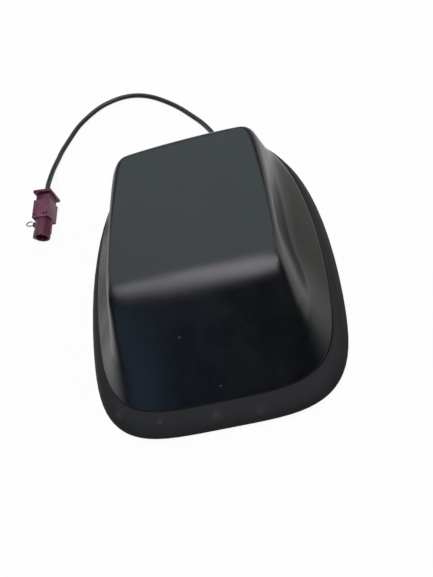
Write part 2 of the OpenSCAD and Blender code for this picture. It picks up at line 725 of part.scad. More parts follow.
module plug_sleeve() {
    wall_gap = 0.1;
    front_y = sleeve_y - sleeve_l;
    inner_w = neck_w + 2 * wall_gap;
    color([0.42, 0.2, 0.3]) plug_placed() difference() {
        translate([-sleeve_w / 2, front_y, -sleeve_w / 2]) cube([sleeve_w, sleeve_l, sleeve_w]);
        translate([-inner_w / 2, front_y - through, -inner_w / 2])
            cube([inner_w, sleeve_l + 2 * through, inner_w]);
        for (p = window_places)
            translate([p - window_w / 2, front_y + window_in, 0]) cube([window_w, window_in, sleeve_w]);
    }
}

module plug_shell() {
    color([0.78, 0.66, 0.4]) plug_placed() on_axis(-5) difference() {
        cylinder(r = shell_r, h = plug_l - 7.5);
        translate([0, 0, 8]) cylinder(r = shell_bore_r, h = plug_l);
    }
}

module plug_insulator() {
    color([0.93, 0.93, 0.9]) plug_placed() on_axis(-13) difference() {
        cylinder(r = shell_bore_r, h = 6);
        translate([0, 0, -through]) cylinder(r = contact_r, h = 8);
    }
}

module plug_contact() {
    color([0.83, 0.68, 0.32]) plug_placed() on_axis(-13) cylinder(r = contact_r, h = plug_l - 17);
}

module latch_wire() {
    hook = [-nose_r - latch_out - wire_r, sleeve_y - sleeve_l - 1.8, 0];
    color([0.75, 0.75, 0.75]) plug_placed()
        tube_along(smooth_route([for (p = latch_loop) hook + p], lead_steps), wire_r, lead_sides);
}

radome();
skirt();
base_plate();
roof_inserts();
radome_screws();
foam_gasket();
module_carrier();
carrier_screws();
receiver_board();
board_screws();
patch_pad();
ceramic_patch();
patch_face();
feed_pin();
screening_can();
lead_clamp();
clamp_screws();
core_lead();
lead_grommet();
lead();
plug_ferrule();
plug_housing();
plug_sleeve();
plug_shell();
plug_insulator();
plug_contact();
latch_wire();
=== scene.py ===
"""Dressed scene of a roof-mounted positioning antenna with its lead and plug.

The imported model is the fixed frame. Each sub-assembly is a class that builds and dresses
its own pieces, each finish is a frozen dataclass, and the studio holds the camera, the
lamps and the floor. Lengths are in metres and angles in degrees.
"""
import logging
import math
from dataclasses import dataclass, field
from enum import Enum
from typing import Iterable, Optional, Sequence, Union

import bmesh
import bpy
from mathutils import Matrix, Vector


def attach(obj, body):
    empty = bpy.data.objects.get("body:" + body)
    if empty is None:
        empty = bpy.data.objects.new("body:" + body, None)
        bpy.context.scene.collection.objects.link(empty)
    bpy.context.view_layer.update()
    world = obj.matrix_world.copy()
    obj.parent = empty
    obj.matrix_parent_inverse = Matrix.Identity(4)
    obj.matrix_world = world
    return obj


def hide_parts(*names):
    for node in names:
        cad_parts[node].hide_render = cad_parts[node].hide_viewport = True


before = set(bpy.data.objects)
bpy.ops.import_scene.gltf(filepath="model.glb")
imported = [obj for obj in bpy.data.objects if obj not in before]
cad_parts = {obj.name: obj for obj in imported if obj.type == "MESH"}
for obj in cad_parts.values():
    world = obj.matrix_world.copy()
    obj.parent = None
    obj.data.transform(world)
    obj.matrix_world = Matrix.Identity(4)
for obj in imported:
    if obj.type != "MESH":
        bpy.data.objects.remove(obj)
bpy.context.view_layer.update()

LOG = logging.getLogger("antenna")
MM = 0.001
BODY = "root"
MERGE_GAP = 0.002 * MM
WHITE = (1.0, 1.0, 1.0, 1.0)

Point = tuple[float, float, float]
Colour = tuple[float, float, float]
Value = Union[float, "Wire"]


@dataclass(frozen=True)
class Clouds:
    """Cloudy noise: size of one cloud, number and strength of finer layers, and stretch."""

    size: float
    layers: float = 3.0
    strength: float = 0.55
    stretch: Optional[Point] = None


@dataclass(frozen=True)
class Step:
    """Soft step from 0 up to a share: the value at its middle and its full width."""

    edge: float
    width: float
    share: float = 1.0


class Wire:
    """One output socket of a shader tree, with the operators of arithmetic."""

    def __init__(self, tree: "Tree", socket: bpy.types.NodeSocket) -> None:
        """Keep the socket and the tree that it belongs to.

        Args:
            tree: Tree that new nodes are added to.
            socket: Output socket that carries the value.
        """
        self.tree = tree
        self.socket = socket

    def __add__(self, other: Value) -> "Wire":
        """Sum of two values."""
        return self.tree.maths("ADD", self, other)

    def __radd__(self, other: Value) -> "Wire":
        """Sum with a plain number first."""
        return self.tree.maths("ADD", other, self)

    def __sub__(self, other: Value) -> "Wire":
        """Difference of two values."""
        return self.tree.maths("SUBTRACT", self, other)

    def __rsub__(self, other: Value) -> "Wire":
        """Difference with a plain number first."""
        return self.tree.maths("SUBTRACT", other, self)

    def __mul__(self, other: Value) -> "Wire":
        """Product of two values."""
        return self.tree.maths("MULTIPLY", self, other)

    def __truediv__(self, other: Value) -> "Wire":
        """Quotient of two values."""
        return self.tree.maths("DIVIDE", self, other)

    def clamped(self) -> "Wire":
        """Value held between 0 and 1."""
        return self.tree.node("ShaderNodeClamp", {}, {"Value": self})

    def stepped(self, step: Step) -> "Wire":
        """Soft step of the value.

        Args:
            step: Middle, width and height of the step.

        Returns:
            The stepped value.
        """
        settings = {"interpolation_type": "SMOOTHSTEP"}
        low, high = step.edge - step.width / 2, step.edge + step.width / 2
        sockets = {"Value": self, "From Min": low, "From Max": high}
        return self.tree.node("ShaderNodeMapRange", settings, sockets) * step.share


class Tree:
    """Shader tree of one material, filled by expressions."""

    def __init__(self, name: str) -> None:
        """Make an empty material.

        Args:
            name: Name of the material.
        """
        self.material = bpy.data.materials.new(name)
        self.material.use_nodes = True
        self.nodes = self.material.node_tree.nodes
        self.links = self.material.node_tree.links
        self.nodes.clear()

    def node(self, kind: str, settings: dict, sockets: dict, output: Union[int, str] = 0) -> Wire:
        """Add a node, set it up and connect it.

        Args:
            kind: Blender's type name of the node.
            settings: Attributes that are set first.
            sockets: Values or wires by input name or number.
            output: Name or number of the output that is wanted.

        Returns:
            The wanted output as a wire.
        """
        made = self.nodes.new(kind)
        for key, value in settings.items():
            setattr(made, key, value)
        for key, value in sockets.items():
            if isinstance(value, Wire):
                self.links.new(value.socket, made.inputs[key])
            else:
                made.inputs[key].default_value = value
        return Wire(self, made.outputs[output])

    def maths(self, operation: str, first: Value, second: Value) -> Wire:
        """Math node on two values."""
        return self.node("ShaderNodeMath", {"operation": operation}, {0: first, 1: second})

    def place(self) -> Wire:
        """Place on the object, in metres."""
        return self.node("ShaderNodeTexCoord", {}, {}, "Object")

    def along(self, name: str) -> Wire:
        """Place on the piece's own UV map."""
        return self.node("ShaderNodeUVMap", {"uv_map": name}, {}, "UV")

    def scaled(self, place: Wire, scale: Point) -> Wire:
        """Place stretched by three factors."""
        return self.node("ShaderNodeMapping", {}, {"Vector": place, "Scale": scale})

    def part(self, place: Wire, axis: str) -> Wire:
        """One coordinate of a place."""
        return self.node("ShaderNodeSeparateXYZ", {}, {"Vector": place}, axis)

    def noise(self, place: Wire, clouds: Clouds) -> Wire:
        """Cloudy noise from about 0 to 1.

        Args:
            place: Coordinates in metres.
            clouds: Size, layers and stretch of the clouds.

        Returns:
            The noise.
        """
        if clouds.stretch:
            place = self.scaled(place, clouds.stretch)
        sockets = {
            "Vector": place,
            "Scale": 1.0 / clouds.size,
            "Detail": clouds.layers,
            "Roughness": clouds.strength,
        }
        return self.node("ShaderNodeTexNoise", {}, sockets)

    def near(self, place: Wire, centre: Point, reach: float) -> Wire:
        """Mask of 1 at a centre that falls to 0 at a reach.

        Args:
            place: Coordinates in metres.
            centre: Middle of the mask.
            reach: Distance at which it ends.

        Returns:
            The mask.
        """
        settings = {"operation": "DISTANCE"}
        gap = self.node("ShaderNodeVectorMath", settings, {0: place, 1: centre}, "Value")
        return (1.0 - gap / reach).clamped()

    def mix(self, share: Value, first: Union[Colour, Wire], second: Union[Colour, Wire]) -> Wire:
        """Colour between two colours.

        Args:
            share: Share of the second colour.
            first: Colour at 0.
            second: Colour at 1.

        Returns:
            The mixed colour.
        """
        colours = [c if isinstance(c, Wire) else (*c, 1.0) for c in (first, second)]
        sockets = {0: share, 6: colours[0], 7: colours[1]}
        return self.node("ShaderNodeMix", {"data_type": "RGBA"}, sockets, 2)

    def bump(self, height: Wire, depth: float) -> Wire:
        """Normal bent by a height.

        Args:
            height: Height from about 0 to 1.
            depth: Depth in metres that a height of 1 stands for.

        Returns:
            The bent normal.
        """
        return self.node("ShaderNodeBump", {}, {"Height": height, "Distance": depth})

    def finish(self, plain: dict, **varying: Wire) -> bpy.types.Material:
        """Close the tree with a Principled shader.

        Args:
            plain: Uniform values by socket name.
            varying: Wires by socket name, with _ for a blank.

        Returns:
            The finished material.
        """
        sockets = dict(plain)
        sockets.update({name.replace("_", " "): wire for name, wire in varying.items()})
        shader = self.node("ShaderNodeBsdfPrincipled", {}, sockets)
        self.node_out(shader)
        return self.material

    def node_out(self, shader: Wire) -> None:
        """Connect a shader to the material's output."""
        made = self.nodes.new("ShaderNodeOutputMaterial")
        self.links.new(shader.socket, made.inputs["Surface"])


@dataclass(frozen=True)
class Mark:
    """Small mark on a surface: where it is, how far it reaches and how strong it is."""

    centre: Point
    reach: float
    strength: float


@dataclass(frozen=True)
class RadomePlastic:
    """Satin black moulded plastic with a fine grain, a faint haze and small flecks."""

    name: str = "radome_satin_black"
    colour: Colour = (0.0018, 0.0026, 0.0034)
    haze: Colour = (0.0055, 0.0064, 0.007)
    fleck: Colour = (0.45, 0.45, 0.46)
    ior: float = 1.5
    roughness: float = 0.3
    hazy_roughness: float = 0.12
    grain_roughness: float = 0.08
    clouds: Clouds = Clouds(22 * MM, 4.0)
    cloud_step: Step = Step(0.52, 0.34, 0.45)
    rubs: Clouds = Clouds(6 * MM, 5.0, 0.65, (1.0, 0.45, 1.0))
    rub_step: Step = Step(0.6, 0.25, 0.25)
    ragged: Clouds = Clouds(0.8 * MM)
    fleck_step: Step = Step(0.5, 0.3)
    grain: Clouds = Clouds(0.35 * MM, 2.0)
    grain_relief: float = 0.5
    mottle: Clouds = Clouds(1.1 * MM, 2.0)
    depth: float = 0.02 * MM
    flecks: tuple[Mark, ...] = ()

    def build(self) -> bpy.types.Material:
        """Build the material.

        Returns:
            The material.
        """
        tree = Tree(self.name)
        place = tree.place()
        clouds = tree.noise(place, self.clouds).stepped(self.cloud_step)
        rubs = tree.noise(place, self.rubs).stepped(self.rub_step)
        haze = (clouds + rubs).clamped()
        colour = tree.mix(haze, self.colour, self.haze)
        for mark in self.flecks:
            ragged = tree.noise(place, self.ragged) - 0.5
            shape = (tree.near(place, mark.centre, mark.reach) + ragged).stepped(self.fleck_step)
            colour = tree.mix(shape * mark.strength, colour, self.fleck)
        grain = tree.noise(place, self.grain)
        rough = self.roughness + haze * self.hazy_roughness + (grain - 0.5) * self.grain_roughness
        relief = grain * self.grain_relief + tree.noise(place, self.mottle)
        normal = tree.bump(relief, self.depth)
        return tree.finish({"IOR": self.ior}, Base_Color=colour, Roughness=rough, Normal=normal)


@dataclass(frozen=True)
class DustyRubber:
    """Matt black rubber with a dusty bloom and chalky patches."""

    name: str = "skirt_rubber_dusty"
    colour: Colour = (0.0058, 0.0066, 0.0078)
    bloom: Colour = (0.0148, 0.015, 0.015)
    chalk: Colour = (0.12, 0.115, 0.115)
    ior: float = 1.45
    sheen_level: float = 0.4
    roughness: float = 0.68
    cloud_roughness: float = 0.15
    clouds: Clouds = Clouds(16 * MM, 5.0, 0.6)
    bloom_step: Step = Step(0.5, 0.4, 0.7)
    streaks: Clouds = Clouds(4 * MM, 4.0, 0.7, (1.0, 1.0, 0.3))
    patch_weight: float = 0.7
    patch_step: Step = Step(0.55, 0.4)
    pores: Clouds = Clouds(0.5 * MM)
    pore_depth: float = 0.04 * MM
    patches: tuple[Mark, ...] = ()

    def build(self) -> bpy.types.Material:
        """Build the material.

        Returns:
            The material.
        """
        tree = Tree(self.name)
        place = tree.place()
        clouds = tree.noise(place, self.clouds)
        colour = tree.mix(clouds.stepped(self.bloom_step), self.colour, self.bloom)
        streaks = tree.noise(place, self.streaks) - 0.5
        for mark in self.patches:
            near = tree.near(place, mark.centre, mark.reach) * self.patch_weight
            worn = (near + streaks).stepped(self.patch_step)
            colour = tree.mix(worn * mark.strength, colour, self.chalk)
        rough = self.roughness + clouds * self.cloud_roughness
        normal = tree.bump(tree.noise(place, self.pores), self.pore_depth)
        plain = {"IOR": self.ior, "Specular IOR Level": self.sheen_level}
        return tree.finish(plain, Base_Color=colour, Roughness=rough, Normal=normal)


@dataclass(frozen=True)
class LeadJacket:
    """Black plastic jacket of the lead, with faint draw lines and scuffs along it."""

    name: str = "lead_jacket_black"
    colour: Colour = (0.005, 0.0056, 0.0064)
    scuff: Colour = (0.022, 0.023, 0.024)
    ior: float = 1.5
    roughness: float = 0.3
    cloud_roughness: float = 0.16
    lines: Clouds = Clouds(1.0, 2.0, stretch=(700.0, 12.0, 1.0))
    line_step: Step = Step(0.5, 0.4)
    line_depth: float = 0.02 * MM
    clouds: Clouds = Clouds(12 * MM, 4.0)
    cloud_step: Step = Step(0.6, 0.2)
    scuff_share: float = 0.6
    uv: str = "lead_uv"

    def build(self) -> bpy.types.Material:
        """Build the material.

        Returns:
            The material.
        """
        tree = Tree(self.name)
        place = tree.along(self.uv)
        lines = tree.noise(place, self.lines)
        clouds = tree.noise(place, self.clouds)
        scuffs = clouds.stepped(self.cloud_step) * lines.stepped(self.line_step)
        colour = tree.mix(scuffs * self.scuff_share, self.colour, self.scuff)
        rough = self.roughness + clouds * self.cloud_roughness
        normal = tree.bump(lines, self.line_depth)
        return tree.finish({"IOR": self.ior}, Base_Color=colour, Roughness=rough, Normal=normal)


@dataclass(frozen=True)
class MouldedPlastic:
    """Plain moulded plastic, paler in faint clouds where it is rubbed."""

    name: str
    colour: Colour
    worn: Colour
    roughness: float = 0.42
    cloud_roughness: float = 0.14
    clouds: Clouds = Clouds(5 * MM, 4.0)
    worn_step: Step = Step(0.55, 0.4, 0.5)
    grain: Clouds = Clouds(0.3 * MM, 2.0)
    grain_depth: float = 0.012 * MM
    ior: float = 1.5
    sheen_level: float = 0.5

    def build(self) -> bpy.types.Material:
        """Build the material.

        Returns:
            The material.
        """
        tree = Tree(self.name)
        place = tree.place()
        clouds = tree.noise(place, self.clouds)
        colour = tree.mix(clouds.stepped(self.worn_step), self.colour, self.worn)
        rough = self.roughness + clouds * self.cloud_roughness
        normal = tree.bump(tree.noise(place, self.grain), self.grain_depth)
        plain = {"IOR": self.ior, "Specular IOR Level": self.sheen_level}
        return tree.finish(plain, Base_Color=colour, Roughness=rough, Normal=normal)


@dataclass(frozen=True)
class PlatedMetal:
    """Plated or cast metal with a fine uneven tone."""

    name: str
    colour: Colour
    dull: Colour
    roughness: float = 0.3
    cloud_roughness: float = 0.18
    clouds: Clouds = Clouds(4 * MM, 4.0)
    dull_step: Step = Step(0.5, 0.5, 0.6)
    grain: Clouds = Clouds(0.4 * MM, 2.0)
    grain_depth: float = 0.01 * MM

    def build(self) -> bpy.types.Material:
        """Build the material.

        Returns:
            The material.
        """
        tree = Tree(self.name)
        place = tree.place()
        clouds = tree.noise(place, self.clouds)
        colour = tree.mix(clouds.stepped(self.dull_step), self.colour, self.dull)
        rough = self.roughness + clouds * self.cloud_roughness
        normal = tree.bump(tree.noise(place, self.grain), self.grain_depth)
        return tree.finish({"Metallic": 1.0}, Base_Color=colour, Roughness=rough, Normal=normal)


Finish = Union[RadomePlastic, DustyRubber, LeadJacket, MouldedPlastic, PlatedMetal]


class Slot(Enum):
    """Slots that the pieces take their finish from."""

    RADOME = "radome_plastic"
    SKIRT = "skirt_rubber"
    BASE = "cast_base"
    INSERT = "insert_brass"
    SCREW = "plated_steel"
    FOAM = "gasket_foam"
    CARRIER = "carrier_plastic"
    BOARD = "board_laminate"
    CERAMIC = "patch_ceramic"
    SILVER = "silver_face"
    TIN = "tinned_sheet"
    PAD = "adhesive_pad"
    JACKET = "lead_jacket"
    CORE = "core_plastic"
    HOUSING = "plug_claret"
    SLEEVE = "sleeve_claret"
    BRIGHT = "bright_plate"
    SPRING = "spring"
    GOLD = "gold_plate"
    WHITE = "insulator_white"


FINISHES: dict[Slot, Finish] = {
    Slot.RADOME: RadomePlastic(
        flecks=(
            Mark((-11.6 * MM, -41.7 * MM, 25.9 * MM), 1.1 * MM, 0.1),
            Mark((0.9 * MM, -60.8 * MM, 10.0 * MM), 1.0 * MM, 0.12),
        )
    ),
    Slot.SKIRT: DustyRubber(
        patches=(
            Mark((-48.3 * MM, -62.3 * MM, 4.7 * MM), 5.5 * MM, 0.13),
            Mark((-29.7 * MM, -69.5 * MM, 4.9 * MM), 2.6 * MM, 0.2),
            Mark((-4.4 * MM, -71.7 * MM, 4.6 * MM), 7.5 * MM, 0.16),
            Mark((15.6 * MM, -72.5 * MM, 4.4 * MM), 6.0 * MM, 0.12),
            Mark((57.5 * MM, -40.7 * MM, 4.5 * MM), 1.2 * MM, 0.3),
        )
    ),
    Slot.BASE: PlatedMetal(
        "base_as_cast",
        (0.55, 0.56, 0.57),
        (0.4, 0.41, 0.42),
        roughness=0.45,
        clouds=Clouds(10 * MM, 4.0),
        grain=Clouds(0.8 * MM, 2.0),
        grain_depth=0.06 * MM,
    ),
    Slot.INSERT: PlatedMetal("insert_turned_brass", (0.72, 0.56, 0.28), (0.55, 0.42, 0.2)),
    Slot.SCREW: PlatedMetal("screw_zinc", (0.66, 0.67, 0.68), (0.5, 0.51, 0.52), 0.32),
    Slot.FOAM: MouldedPlastic(
        "foam_closed_cell",
        (0.03, 0.03, 0.03),
        (0.05, 0.05, 0.05),
        roughness=0.8,
        clouds=Clouds(3 * MM, 4.0),
        grain=Clouds(0.6 * MM, 2.0),
    ),
    Slot.CARRIER: MouldedPlastic("carrier_natural", (0.62, 0.6, 0.53), (0.7, 0.68, 0.62)),
    Slot.BOARD: MouldedPlastic("board_solder_mask", (0.02, 0.13, 0.05), (0.03, 0.18, 0.08), 0.3),
    Slot.CERAMIC: MouldedPlastic("patch_fired_ceramic", (0.5, 0.42, 0.28), (0.56, 0.49, 0.35), 0.6),
    Slot.SILVER: PlatedMetal("patch_silver_face", (0.78, 0.78, 0.8), (0.66, 0.66, 0.68), 0.35),
    Slot.TIN: PlatedMetal("can_tinned", (0.7, 0.7, 0.7), (0.58, 0.58, 0.58), 0.28),
    Slot.PAD: MouldedPlastic("pad_foam_tape", (0.75, 0.75, 0.7), (0.8, 0.8, 0.77), 0.7),
    Slot.JACKET: LeadJacket(),
    Slot.CORE: MouldedPlastic("core_insulation", (0.75, 0.75, 0.72), (0.82, 0.82, 0.8), 0.4),
    Slot.HOUSING: MouldedPlastic(
        "plug_claret_body",
        (0.092, 0.015, 0.038),
        (0.14, 0.036, 0.065),
        roughness=0.36,
        sheen_level=0.26,
    ),
    Slot.SLEEVE: MouldedPlastic(
        "plug_claret_sleeve",
        (0.118, 0.024, 0.052),
        (0.175, 0.06, 0.095),
        roughness=0.36,
        sheen_level=0.3,
    ),
    Slot.BRIGHT: PlatedMetal("ferrule_nickel", (0.72, 0.71, 0.7), (0.55, 0.55, 0.55), 0.22),
    Slot.SPRING: PlatedMetal("latch_spring_wire", (0.1, 0.1, 0.085), (0.07, 0.07, 0.06), 0.45),
    Slot.GOLD: PlatedMetal("contact_gold", (0.8, 0.62, 0.28), (0.65, 0.5, 0.24), 0.25),
    Slot.WHITE: MouldedPlastic("insulator_machined", (0.8, 0.8, 0.77), (0.85, 0.85, 0.83), 0.5),
}


class Paints:
    """Materials by slot, each built once when it is first asked for."""

    def __init__(self) -> None:
        """Start with no material."""
        self.made: dict[Slot, bpy.types.Material] = {}

    def of(self, slot: Slot) -> bpy.types.Material:
        """Material of a slot.

        Args:
            slot: The slot.

        Returns:
            Its material.
        """
        if slot not in self.made:
            self.made[slot] = FINISHES[slot].build()
        return self.made[slot]

    def dress(self, piece: bpy.types.Object, slot: Slot) -> None:
        """Give a piece one material.

        Args:
            piece: Mesh object.
            slot: Slot of its finish.
        """
        piece.data.materials.clear()
        piece.data.materials.append(self.of(slot))


def mount_piece(
    piece: bpy.types.Object, slot: Slot, paints: Paints, node: str
) -> bpy.types.Object:
    """Dress a new piece, put it on the body and let it stand for a CAD node.

    Args:
        piece: New mesh object.
        slot: Slot of its finish.
        paints: Materials.
        node: CAD node that it replaces.

    Returns:
        The piece.
    """
    paints.dress(piece, slot)
    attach(piece, BODY)
    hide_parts(node)
    LOG.info("made %s with %d faces", piece.name, len(piece.data.polygons))
    return piece


def select_none() -> None:
    """Deselect every object."""
    bpy.ops.object.select_all(action="DESELECT")


def select_only(piece: bpy.types.Object) -> None:
    """Make one object the only selected and the active one."""
    select_none()
    piece.select_set(True)
    bpy.context.view_layer.objects.active = piece


def smooth_by_angle(piece: bpy.types.Object, degrees: float) -> None:
    """Shade a piece smooth up to an angle between its faces."""
    select_only(piece)
    bpy.ops.object.shade_smooth_by_angle(angle=math.radians(degrees))


def copied_node(node: str, name: str, flat: float = 0.0) -> bpy.types.Object:
    """Copy a CAD node's mesh, merge its doubles and join its flat triangles.

    Args:
        node: Name of the CAD node.
        name: Name of the new piece.
        flat: Largest angle in degrees between triangles that are joined, or 0 for none.

    Returns:
        The new piece.
    """
    piece = bpy.data.objects.new(name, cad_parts[node].data.copy())
    bpy.context.scene.collection.objects.link(piece)
    select_only(piece)
    bpy.ops.object.mode_set(mode="EDIT")
    bpy.ops.mesh.select_all(action="SELECT")
    bpy.ops.mesh.remove_doubles(threshold=MERGE_GAP)
    if flat:
        bpy.ops.mesh.dissolve_limited(angle_limit=math.radians(flat))
    bpy.ops.object.mode_set(mode="OBJECT")
    return piece


def even_normals(piece: bpy.types.Object) -> None:
    """Weigh a piece's smooth normals by the areas of its faces."""
    select_only(piece)
    even = piece.modifiers.new("even_normals", "WEIGHTED_NORMAL")
    even.keep_sharp = True
    bpy.ops.object.modifier_apply(modifier=even.name)


def soften_edges(piece: bpy.types.Object, width: float, segments: int, angle: float) -> None:
    """Round a piece's sharp edges with an applied bevel.

    Args:
        piece: Mesh object.
        width: Width of the round.
        segments: Steps of the round.
        angle: Least angle in degrees of an edge that is rounded.
    """
    select_only(piece)
    bevel = piece.modifiers.new("edge_round", "BEVEL")
    bevel.width = width
    bevel.segments = segments
    bevel.limit_method = "ANGLE"
    bevel.angle_limit = math.radians(angle)
    bpy.ops.object.modifier_apply(modifier=bevel.name)


@dataclass
class Cover:
    """Radome and rubber skirt, as smooth shells of their CAD forms."""

    paints: Paints
    crease: float = 32.0

    def radome(self) -> None:
        """Build the radome's shell."""
        piece = copied_node("radome", "radome_shell")
        smooth_by_angle(piece, self.crease)
        even_normals(piece)
        mount_piece(piece, Slot.RADOME, self.paints, "radome")

    def skirt(self) -> None:
        """Build the rubber skirt."""
        piece = copied_node("skirt", "skirt_rubber")
        smooth_by_angle(piece, self.crease)
        mount_piece(piece, Slot.SKIRT, self.paints, "skirt")

    def build(self) -> None:
        """Build both shells."""
        self.radome()
        self.skirt()


@dataclass
class Lead:
    """Coaxial lead on one smooth route from its clamp to the plug.

    The route's points are those of the CAD model, in millimetres: inside holds places along
    the exit's line, behind_plug holds distances behind the plug's rear face.
    """

    paints: Paints
    name: str = "lead_cord"
    diameter: float = 2.7 * MM
    length: float = 0.196
    sides: int = 20
    steps: int = 6
    crease: float = 50.0
    exit_x: float = 14 * MM
    exit_z: float = 7.2 * MM
    inside: tuple[float, ...] = (56.5, 64.5, 76.6)
    plug_rear: Point = (-84.2, 74.0, 6.39)
    plug_turn: float = 7.5
    plug_dip: float = 4.06
    behind_plug: tuple[float, ...] = (7.0, 2.2, -1.0)
    free: tuple[Point, ...] = (
        (13.6, 81.5, 6.2),
        (12.6, 86.6, 4),
        (10.6, 93.5, 2),
        (6, 102.2, 1.4),
        (0.4, 109.9, 1.4),
        (-5.6, 117.6, 1.4),
        (-12.6, 124.8, 1.4),
        (-20.2, 131.2, 1.4),
        (-27.7, 135.5, 1.4),
        (-35.4, 137.7, 1.4),
        (-43.6, 137.7, 1.4),
        (-52.5, 135.3, 1.4),
        (-60, 130.6, 1.4),
        (-67.1, 124.1, 1.4),
        (-72.9, 115.6, 1.4),
        (-77.5, 108, 1.4),
        (-79.4, 103.2, 1.7),
        (-81, 98.1, 2.5),
        (-82.2, 91.5, 4.2),
    )

    def plug_point(self, y: float) -> Vector:
        """Point on the plug's middle line.

        Args:
            y: Distance behind the plug's rear face in millimetres.

        Returns:
            The point.
        """
        turn, dip = math.radians(self.plug_turn), math.radians(self.plug_dip)
        level = Vector((math.sin(turn), math.cos(turn), 0.0))
        back = level * math.cos(dip) + Vector((0.0, 0.0, math.sin(dip)))
        return (Vector(self.plug_rear) + back * y) * MM

    def route(self) -> list[Vector]:
        """Points that the lead passes, from the clamp to the plug."""
        inside = [Vector((self.exit_x, y * MM, self.exit_z)) for y in self.inside]
        outside = [Vector(point) * MM for point in self.free]
        return inside + outside + [self.plug_point(y) for y in self.behind_plug]

    def line(self) -> list[Vector]:
        """Smooth line through the route's points."""
        route = self.route()
        last = len(route) - 1
        points = []
        for k in range(last):
            before, here = route[max(k - 1, 0)], route[k]
            ahead, beyond = route[k + 1], route[min(k + 2, last)]
            for step in range(self.steps):
                s = step / self.steps
                bend = (2 * before - 5 * here + 4 * ahead - beyond) * s**2
                twist = (3 * here - before - 3 * ahead + beyond) * s**3
                points.append((2 * here + (ahead - before) * s + bend + twist) / 2)
        return points + [route[last]]

    def ring(self, line: Sequence[Vector], k: int) -> list[Vector]:
        """Points around the lead at one point of its line.

        Args:
            line: Centre line.
            k: Number of the point.

        Returns:
            The points around it.
        """
        way = (line[min(k + 1, len(line) - 1)] - line[max(k - 1, 0)]).normalized()
        side = way.cross(Vector((0, 0, 1))).normalized()
        up = side.cross(way)
        angles = (2 * math.pi * i / self.sides for i in range(self.sides))
        spokes = (side * math.cos(angle) + up * math.sin(angle) for angle in angles)
        return [line[k] + self.diameter / 2 * spoke for spoke in spokes]

    def tube(self, line: Sequence[Vector], uv: str) -> bpy.types.Object:
        """Round tube along a line, with a UV map in metres.

        Args:
            line: Centre line.
            uv: Name of the UV map.

        Returns:
            The tube.
        """
        mesh = bmesh.new()
        layer = mesh.loops.layers.uv.new(uv)
        rings = [[mesh.verts.new(point) for point in self.ring(line, k)] for k in range(len(line))]
        reach = [0.0]
        for start, end in zip(line, line[1:]):
            reach.append(reach[-1] + (end - start).length)
        for k, (near, far) in enumerate(zip(rings, rings[1:])):
            for i in range(self.sides):
                j = (i + 1) % self.sides
                face = mesh.faces.new((near[i], near[j], far[j], far[i]))
                corners = ((i, k), (i + 1, k), (i + 1, k + 1), (i, k + 1))
                for loop, (around, row) in zip(face.loops, corners):
                    across = around * math.pi * self.diameter / self.sides
                    loop[layer].uv = (across, reach[row])
        mesh.faces.new(reversed(rings[0]))
        mesh.faces.new(rings[-1])
        bmesh.ops.recalc_face_normals(mesh, faces=mesh.faces)
        data = bpy.data.meshes.new(self.name)
        mesh.to_mesh(data)
        mesh.free()
        piece = bpy.data.objects.new(self.name, data)
        bpy.context.scene.collection.objects.link(piece)
        smooth_by_angle(piece, self.crease)
        return piece

    def build(self) -> bpy.types.Object:
        """Build the lead.

        Returns:
            Its mesh.
        """
        piece = self.tube(self.line(), FINISHES[Slot.JACKET].uv)
        return mount_piece(piece, Slot.JACKET, self.paints, "lead")

    def declare(self, plug: Iterable[bpy.types.Object]) -> None:
        """Work out the points of the cord's line; nothing is kept.

        Args:
            plug: Pieces of the plug; not used.
        """
        [tuple(point) for point in self.line()]


@dataclass
class Plug:
    """Claret coaxial plug: a moulded body, its sleeve and the metal parts."""

    paints: Paints
    flat: float = 1.0
    edge: float = 0.25 * MM
    edge_steps: int = 2
    edge_angle: float = 35.0
    crease: float = 40.0
    metal: tuple[tuple[str, Slot], ...] = (
        ("plug_ferrule", Slot.BRIGHT),
        ("plug_shell", Slot.GOLD),
        ("plug_insulator", Slot.WHITE),
        ("plug_contact", Slot.GOLD),
        ("latch_wire", Slot.SPRING),
    )

    def moulding(self, node: str, name: str, slot: Slot) -> bpy.types.Object:
        """Moulded piece with rounded edges.

        Args:
            node: CAD node that it stands for.
            name: Name of the piece.
            slot: Slot of its finish.

        Returns:
            The piece.
        """
        piece = copied_node(node, name, self.flat)
        soften_edges(piece, self.edge, self.edge_steps, self.edge_angle)
        smooth_by_angle(piece, self.crease)
        return mount_piece(piece, slot, self.paints, node)

    def build(self) -> list[bpy.types.Object]:
        """Build the plug.

        Returns:
            All its pieces.
        """
        pieces = [
            self.moulding("plug_housing", "plug_body", Slot.HOUSING),
            self.moulding("plug_sleeve", "plug_sleeve_shell", Slot.SLEEVE),
        ]
        for node, slot in self.metal:
            self.paints.dress(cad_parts[node], slot)
            pieces.append(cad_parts[node])
        return pieces


@dataclass
class Inside:
    """Base, fixings and receiving module, which keep their CAD meshes."""

    paints: Paints
    nodes: dict[str, Slot] = field(
        default_factory=lambda: {
            "base_plate": Slot.BASE,
            "roof_inserts": Slot.INSERT,
            "radome_screws": Slot.SCREW,
            "foam_gasket": Slot.FOAM,
            "module_carrier": Slot.CARRIER,
            "carrier_screws": Slot.SCREW,
            "receiver_board": Slot.BOARD,
            "board_screws": Slot.SCREW,
            "patch_pad": Slot.PAD,
            "ceramic_patch": Slot.CERAMIC,
            "patch_face": Slot.SILVER,
            "feed_pin": Slot.TIN,
            "screening_can": Slot.TIN,
            "lead_clamp": Slot.SCREW,
            "clamp_screws": Slot.SCREW,
            "core_lead": Slot.CORE,
            "lead_grommet": Slot.SKIRT,
        }
    )

    def build(self) -> None:
        """Dress every node."""
        for node, slot in self.nodes.items():
            self.paints.dress(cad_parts[node], slot)
            LOG.info("dressed %s", node)


